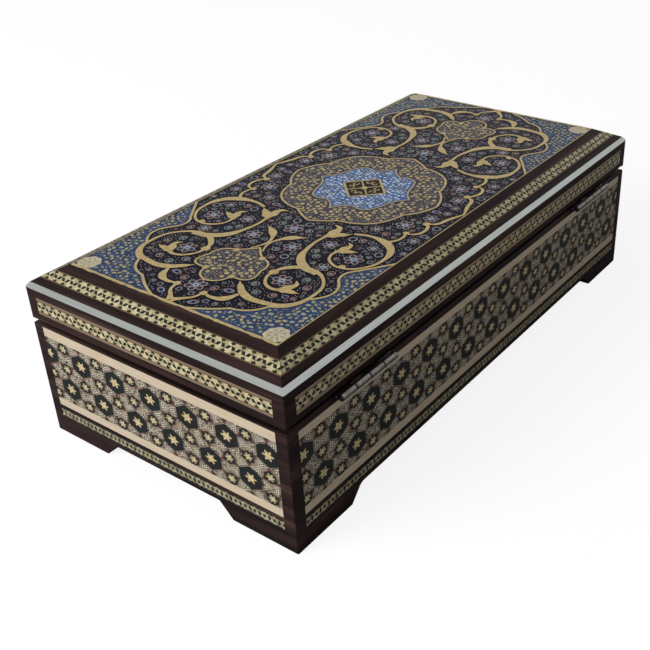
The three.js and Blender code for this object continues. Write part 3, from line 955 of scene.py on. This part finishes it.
for x, y in stroke_edges:
    claim(x, y, 0.4)
for place in ((76.4, 22.5, 3.9), (55.6, 9.4, 3.7), (51.4, 33.8, 3.9), (47, 20, 3.2), (19.4, 33.4, 3.9),
              (9.6, 38.4, 3.2), (61.6, 28.4, 2.9), (28.6, 43.4, 2.6), (41, 34.6, 2.4), (27.6, 26.4, 2.7),
              (38.6, 46, 1.6), (2.8, 41.4, 2)):
    blossom(*place)
ON_THE_AXIS = ((94.4, 0, 4.2), (43.6, 0, 4.2))
for place in ON_THE_AXIS:
    claim(*place)
curls = []
for radius in [1.9] * 900 + [1.3] * 900 + [0.85] * 900:
    x, y = dice.uniform(0, END - radius - BORDER), dice.uniform(0, SIDE - radius - BORDER)
    if in_field(x, y) and room(x, y, radius + 0.2):
        if radius > 1 and dice.random() < 0.6:
            curls.append(curl(x, y, radius))
        else:
            ring(x, y, radius)
for _ in range(3500):
    x, y = dice.uniform(0, END - 0.8), dice.uniform(0, SIDE - 0.8)
    if in_field(x, y) and room(x, y, 0.4):
        dab(x, y, 0.24, 0.18, dice.random() * 3, dice.choice((WHITE, PALE_GREY, GOLD)), sides=5)
        claim(x, y, 0.3)
print(len(dabs.faces), "faces in a quarter of the field")
for name, material, chosen in (("grey_curls", PALE_GREY, curls[::2]), ("rose_curls", ROSE, curls[1::2])):
    brush = new_brush()
    for stops in chosen:
        stroke(*stops)
    painted_piece(flat_shape(brush), name, [PAINTS[material]], 5)
print(4 * len(curls), "curls")

# %% [markdown]
# ## Fine patterns
# The blue corners, the medallion, the cartouches and the star have small round blossoms close together. They
# stand on a net whose points are each moved a little at random. The corner patches' petals, the knobs at the ends
# of strokes and the blossoms on the long axis come last.

# %% Fine patterns
ROW = 0.87  # height of a row of the net over the spacing


def scatter(spacing, smallest, largest, slim, fills, allowed):
    """Small dabs on an uneven net. Slim is width over length, and allowed says where one may stand."""
    before = len(dabs.faces)
    for row in range(int(HALF_PANEL.y / (spacing * ROW))):
        for column in range(int(HALF_PANEL.x / spacing)):
            x = (column + 0.4 + row % 2 / 2 + dice.uniform(-0.2, 0.25)) * spacing
            y = (row + 0.5 + dice.uniform(-0.25, 0.25)) * spacing * ROW
            size = dice.uniform(smallest, largest)
            if room(x, y, size * 0.9) and allowed(x, y):
                dab(x, y, size, size * slim * dice.uniform(0.8, 1), dice.random() * 3, dice.choice(fills), sides=7)
                claim(x, y, size * (slim + 1) / 2)
    return len(dabs.faces) - before


def in_corner(x, y):
    return not inside(x, y, FIELD) and x < END - 1 and y < SIDE - 0.9


def in_medallion(x, y):
    return (inside(x, y, MEDALLION) or inside(x, y, CARTOUCHE)) and not inside(x, y, STAR_GROUND)


def in_star_ground(x, y):
    return inside(x, y, STAR_GROUND) and x + y > SQUARE + 1.2


claim(PATCH_X, PATCH_Y, PATCH_RADIUS + 0.6)
for what, *how in (
    ("blossoms in the corner", 2.4, 0.65, 1.1, 0.75, (OLIVE, OLIVE, DULL_GOLD), in_corner),
    ("leaves between them", 1.3, 0.45, 0.8, 0.35, (OLIVE, DULL_GOLD, PALE_GREY), in_corner),
    ("blossoms on medallion and cartouche", 2.3, 0.8, 1.15, 0.9, (DULL_GOLD, DULL_GOLD, GOLD), in_medallion),
    ("leaves between them", 1.3, 0.4, 0.6, 0.5, (DULL_GOLD, PALE_GREY), in_medallion),
    ("blossoms in the star", 1.75, 0.72, 0.85, 0.95, (WHITE, WHITE, WHITE, PALE_GREY), in_star_ground),
    ("smaller ones between them", 1.5, 0.5, 0.7, 0.9, (WHITE, WHITE, PALE_GREY), in_star_ground),
    ("leaves between them", 1.1, 0.3, 0.45, 0.6, (WHITE, WHITE, OLIVE), in_star_ground),
):
    print(scatter(*how), what)
dab(PATCH_X, PATCH_Y, 0.8, 0.7, 0, OLIVE)
for petal in range(8):
    angle = petal * pi / 4
    dab(*around(PATCH_X, PATCH_Y, 2.4, angle), 0.9, 0.3, angle, DULL_GOLD)
for x, y, radius in ((73.4, 16.2, 1.8), (57.9, 33.6, 1.4), (24.6, 37.5, 1.3), (14.3, 39.6, 1.5), (97.1, 6.2, 1.4),
                     (83.6, 6.1, 1.3), (68.2, 6.2, 1.3)):
    dab(x, y, radius, radius, 0, GOLD, sides=12)
mirror(dabs, 1, -1)
for place in ON_THE_AXIS:
    blossom(*place)
mirror(dabs, -1, 1)
dab(0, 0, 1.4, 1.4, 0, GOLD, sides=12)
piece = painted_piece(dabs, "painted_dabs", PAINTS[:BLUE], 5, quarter=False)
print(len(piece.data.polygons), "faces of dabs")

# %% [markdown]
# ## Velvet
# The inside is lined with dark red velvet. Velvet is a cut pile: it looks dark where one looks into the pile and
# pale at grazing angles, which the shader's sheen gives. Brushing leaves soft patches a few centimetres wide, and
# the pile itself is a fine bump, drawn at 0.35 mm because the real 0.1 mm would be too fine to show.

# %% Velvet material
velvet, tree, shader = new_material("cotton_velvet_dyed_dark_red")
brushed, pile = grain(tree, 18, Detail=2), grain(tree, 0.35, Detail=1)
both = add_node(tree, "Math", {0: pile, 1: 0.6, 2: brushed}, operation="MULTIPLY_ADD")
tones = [(0.45, "360910"), (0.8, "581019"), (1, "6c1a24")]
connect(shader, {
    "Base Color": add_node(tree, "ValToRGB", {"Fac": both}, tones),
    "Roughness": 0.95,
    "Specular IOR Level": 0.15,
    "Sheen Weight": 0.35,
    "Sheen Roughness": 0.35,
    "Sheen Tint": colour("d8808a"),
    "Normal": add_node(tree, "Bump", {"Height": pile, "Distance": 0.12 * MM, "Strength": 0.7}),
})
print(velvet.name)

# %% [markdown]
# ## Six covered cards
# Each lining is a card with thin wadding, and the velvet is folded round its edges and glued behind. So it is a
# slab that swells a little in the middle and draws in round its edge. The wadding is too thin for a cloth
# simulation, so the swell is a lift of the grid's points and the folded edge a bevel. The wall cards meet in mitres,
# and their top edges stand up into the shadow gap.

# %% Velvet pads
SWELL, GRID, FOLD = 0.45 * MM, 3.5 * MM, 0.3 * MM
SINK = SWELL * 1.12  # how far the edge lies under the CAD lining's face


def lay_down(shape, low, high, upright):
    """Moves a shape from 0 to the top of a box or, turned over, to its bottom."""
    middle = (low + high) / 2
    place = Matrix.Translation((middle.x, middle.y, high.z if upright else low.z))
    turn = Matrix.Rotation(0 if upright else pi, 4, "X")
    bmesh.ops.transform(shape, matrix=place @ turn, verts=shape.verts)


def covered_card(node, way, body):
    """A padded card in the space of a CAD lining. Way is the side, or "up" or "down", that its velvet faces."""
    low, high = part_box(node)
    side = way if way in SIDES else "front"
    length, height, middle = extent(node, side)
    thickness = (high - low).dot(Vector([abs(c) for c in outwards(side)]))
    if way not in SIDES:
        height, thickness = high.y - low.y, high.z - low.z
    shape = bmesh.new()
    size = Matrix.Diagonal((length / 2, height / 2, 1, 1))
    bmesh.ops.create_grid(shape, x_segments=round(length / GRID), y_segments=round(height / GRID), size=1, matrix=size)
    for point in shape.verts:
        across, along = 2 * point.co.y / height, 2 * point.co.x / length
        rise = (1 - abs(across) ** 6) * (1 - abs(along) ** 24)
        ripple = 0.12 * sin(point.co.x / (7.3 * MM) + 2.1 * sin(point.co.y / (11 * MM)))
        point.co.z = SWELL * rise * (1 + ripple) - SINK
    give_thickness(shape, thickness - SINK, 0)
    for point in shape.verts:
        if point.co.z < -thickness / 2:
            point.co.z = -thickness
    fold = [e for e in shape.edges if e.calc_face_angle(0) > 1 and sum(v.co.z for v in e.verts) > -thickness]
    bmesh.ops.bevel(shape, geom=fold, offset=FOLD, segments=2, profile=0.5, affect="EDGES", material=-1,
                    clamp_overlap=True)
    for face in shape.faces:
        face.smooth = True
    if way in SIDES:
        stand_up(shape, side, middle + outwards(side) * thickness / 2)
        for end in (-1, 1):
            corner = middle - outwards(side) * thickness / 2 + facing(side, end * length / 2, 0)
            cut_off(shape, corner, facing(side, end, -1))
        bmesh.ops.holes_fill(shape, edges=open_edges(shape), sides=0)
    else:
        lay_down(shape, low, high, way == "up")
    pad = piece_from(shape, f"{node}_velvet", [velvet], body)
    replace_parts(pad, node)
    print(pad.name, len(pad.data.polygons), "faces")


OPPOSITE = {"front": "back", "right": "left", "back": "front", "left": "right"}
for side, way in OPPOSITE.items():
    covered_card(f"{side}_wall_lining", way, "body")
covered_card("floor_lining", "up", "body")
covered_card("lid_lining", "down", "lid")

# %% [markdown]
# ## Hinges
# The hinges are small stamped steel butt hinges with a thin zinc plating that has gone dull: grey metal of uneven
# roughness and tone. Its colour is painted darkest at the joints between the knuckles, a painted shade for the
# shadow in those thin gaps. The CAD leaves and pins have the right shape and only get this finish.

# %% Dull zinc plating
zinc, tree, shader = new_material("steel_zinc_plated_dull")
hinge_parts = [name for name in nodes if "hinge" in name and "screw" not in name]
hinge_ends = [abs(end.x) for name in hinge_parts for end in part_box(name)]
knuckle = (max(hinge_ends) - min(hinge_ends)) / 4
spots = grain(tree, 1.5, Detail=4)
place = add_node(tree, "TexCoord").outputs["Object"]
to_joint = add_node(tree, "SeparateXYZ", {"Vector": place})  # its X
for operation, number in (("ABSOLUTE", 0), ("SUBTRACT", min(hinge_ends)), ("PINGPONG", knuckle / 2)):
    to_joint = add_node(tree, "Math", {0: to_joint, 1: number}, operation=operation)
# painted shade: the colour darkens to near black within half a millimetre of each joint between knuckles
tone_with_painted_joint_shade = add_node(tree, "MapRange", {"Value": to_joint, "From Min": 0.15 * MM, "From Max": 0.5 * MM})
tone_with_painted_joint_shade = add_node(tree, "Math", {0: tone_with_painted_joint_shade, 1: spots}, operation="MULTIPLY")
tones = [(0, "171514"), (0.3, "5a5854"), (0.75, "83817c")]
connect(shader, {
    "Base Color": add_node(tree, "ValToRGB", {"Fac": tone_with_painted_joint_shade}, tones),
    "Metallic": 1,
    "Roughness": add_node(tree, "MapRange", {"Value": spots, "To Min": 0.3, "To Max": 0.2}),
})
dress(hinge_parts, zinc)
print("knuckles are", round(knuckle / MM, 2), "mm long")

# %% [markdown]
# ## Screws
# The screws are made anew, because a real one has a thread and a cross recess. A profile spun round the axis gives
# the head and rings for the thread, and the recess is a cross of the head's faces pushed down.

# %% Screws
THREAD, LIP = 0.5 * MM, 0.15 * MM
RECESS_REACH = 0.62  # of the head's radius


def cross_head_screw(node, body):
    """A countersunk screw in the space of a CAD screw, upright, with its head up in the body and down in the lid."""
    low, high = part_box(node)
    head, length = (high.x - low.x) / 2, high.z - low.z
    shank = head * 0.42
    neck = -LIP - (head - shank) * 0.8
    profile = [(0, 0), (head * RECESS_REACH, 0), (head, -0.05 * MM), (head, -LIP), (shank, neck)]
    for turn in range(int((length - 2.2 * MM) / THREAD)):
        level = neck - 0.2 * MM - turn * THREAD
        profile += [(shank, level), (shank * 1.15, level - THREAD * 0.3), (shank, level - THREAD * 0.6)]
    profile.append((0, -length))
    shape = bmesh.new()
    points = [shape.verts.new((x, 0, z)) for x, z in profile]
    edges = [shape.edges.new(pair) for pair in zip(points, points[1:])]
    bmesh.ops.spin(shape, geom=points + edges, cent=(0, 0, 0), axis=(0, 0, 1), angle=2 * pi, steps=24,
                   use_merge=True)
    bmesh.ops.remove_doubles(shape, verts=shape.verts, dist=1e-7)
    half = 0.16 * head
    for normal in (Vector((1, 0, 0)), Vector((0, 1, 0))):
        for sign in (-1, 1):
            cut_off(shape, normal * sign * half, normal * sign, keep_both=True)
    cross = []
    for face in shape.faces:
        x, y, z = face.calc_center_median()
        if z > -0.01 * MM and hypot(x, y) < head * RECESS_REACH and min(abs(x), abs(y)) < half:
            cross.append(face)
    made = bmesh.ops.extrude_face_region(shape, geom=cross)["geom"]
    bmesh.ops.delete(shape, geom=cross, context="FACES")
    for point in points_of(made):
        point.co = Vector((point.co.x * 0.55, point.co.y * 0.55, -0.55 * MM))
    lay_down(shape, low, high, body == "body")
    screw = piece_from(shape, f"{node}_crossed", [zinc], body)
    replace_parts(screw, node)
    return screw


screws = [cross_head_screw(name, "lid" if "_lid_" in name else "body") for name in nodes if "screw" in name]
print(len(screws), "screws of", len(screws[0].data.polygons), "faces")

# %% [markdown]
# ## The bottom board
# The board under the floor pad is thin plywood, stained brown and left without lacquer, as nobody looks at it.
# Its grain is a stretched noise, like the rosewood's but paler, coarser and quite matt.

# %% Bottom board material
plywood, tree, shader = new_material("poplar_plywood_stained_matt")
streaks = grain(tree, 2.5, 60, Detail=5)
connect(shader, {
    "Base Color": add_node(tree, "ValToRGB", {"Fac": streaks}, [(0.3, "4a3426"), (0.7, "6e503a")]),
    "Roughness": 0.75,
    "Specular IOR Level": 0.2,
    "Normal": add_node(tree, "Bump", {"Height": streaks, "Distance": 0.05 * MM, "Strength": 0.5}),
})
dress(["bottom_board"], plywood)
